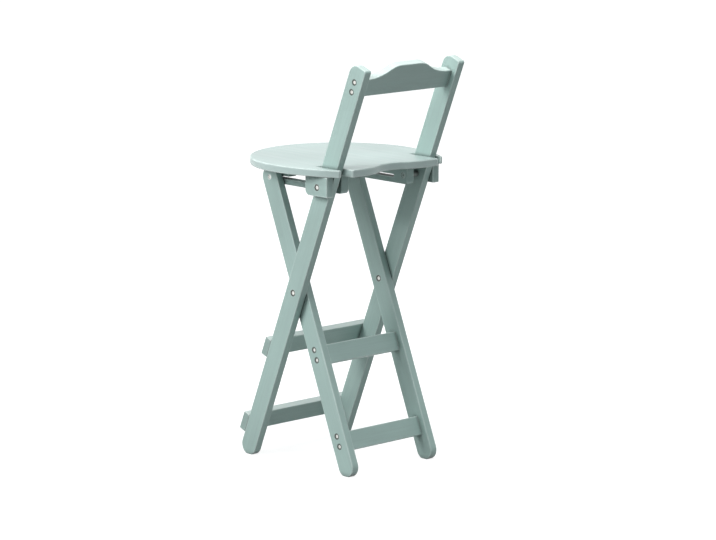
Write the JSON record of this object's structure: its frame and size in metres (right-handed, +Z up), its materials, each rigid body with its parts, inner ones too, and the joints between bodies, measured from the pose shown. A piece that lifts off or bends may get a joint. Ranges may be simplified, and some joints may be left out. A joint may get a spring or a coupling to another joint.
{
  "type": "folding bar stool",
  "caption": "Folding bar stool of painted boards: long legs run on as back posts, short legs cross them on bolts, and a scooped seat tilts on slotted guide rails.",
  "frame": {"origin": "on the floor, under the middle of the open stool's outer box", "axes": "+Z up, -Y the way the sitter looks, +X to the sitter's left"},
  "size_m": [0.434, 0.4682, 0.9784],
  "materials": {
    "back_frame_wood": "satin sage green paint over the wood's grain",
    "short_frame_wood": "satin sage green paint over the wood's grain",
    "seat_frame_wood": "satin sage green paint over the wood's grain",
    "seat_wood": "satin sage green paint, smoother than on the legs",
    "rod_steel": "plain drawn rod",
    "bolt_steel": "zinc plated, satin",
    "washer_steel": "zinc plated, satin",
    "screw_steel": "zinc plated, satin"
  },
  "bodies": {
    "back_frame": {"back_leg_left": "back_frame_wood", "back_leg_right": "back_frame_wood", "crest_rail": "back_frame_wood", "front_rail_upper": "back_frame_wood", "front_rail_lower": "back_frame_wood", "crossing_bolts": "bolt_steel", "crossing_nuts": "bolt_steel", "crossing_washers": "washer_steel", "crest_screws": "screw_steel", "front_rail_screws": "screw_steel"},
    "short_frame": {"short_leg_left": "short_frame_wood", "short_leg_right": "short_frame_wood", "rear_rail_upper": "short_frame_wood", "rear_rail_lower": "short_frame_wood", "slide_rod": "rod_steel", "rod_end_screws": "bolt_steel", "rear_rail_screws": "screw_steel"},
    "seat": {"seat_board": "seat_wood", "outer_block_left": "seat_frame_wood", "outer_block_right": "seat_frame_wood", "guide_rail_left": "seat_frame_wood", "guide_rail_right": "seat_frame_wood", "seat_pivot_bolts": "bolt_steel", "seat_pivot_nuts": "bolt_steel", "seat_pivot_spacers": "washer_steel", "seat_pivot_washers": "washer_steel", "block_screws": "screw_steel", "guide_screws": "screw_steel"}
  },
  "joints": [
    {"name": "leg_fold", "type": "hinge", "parent": "back_frame", "child": "short_frame", "pos_m": [0, -0.01207, 0.42], "axis": [-1, 0, 0], "range_deg": [0, 37]},
    {"name": "seat_tilt", "type": "hinge", "parent": "back_frame", "child": "seat", "pos_m": [0, 0.09582, 0.68703], "axis": [-1, 0, 0], "range_deg": [0, 18.5]}
  ],
  "couplings": [
    {"joint": "seat_tilt", "follows": "leg_fold", "ratio": 0.5}
  ]
}
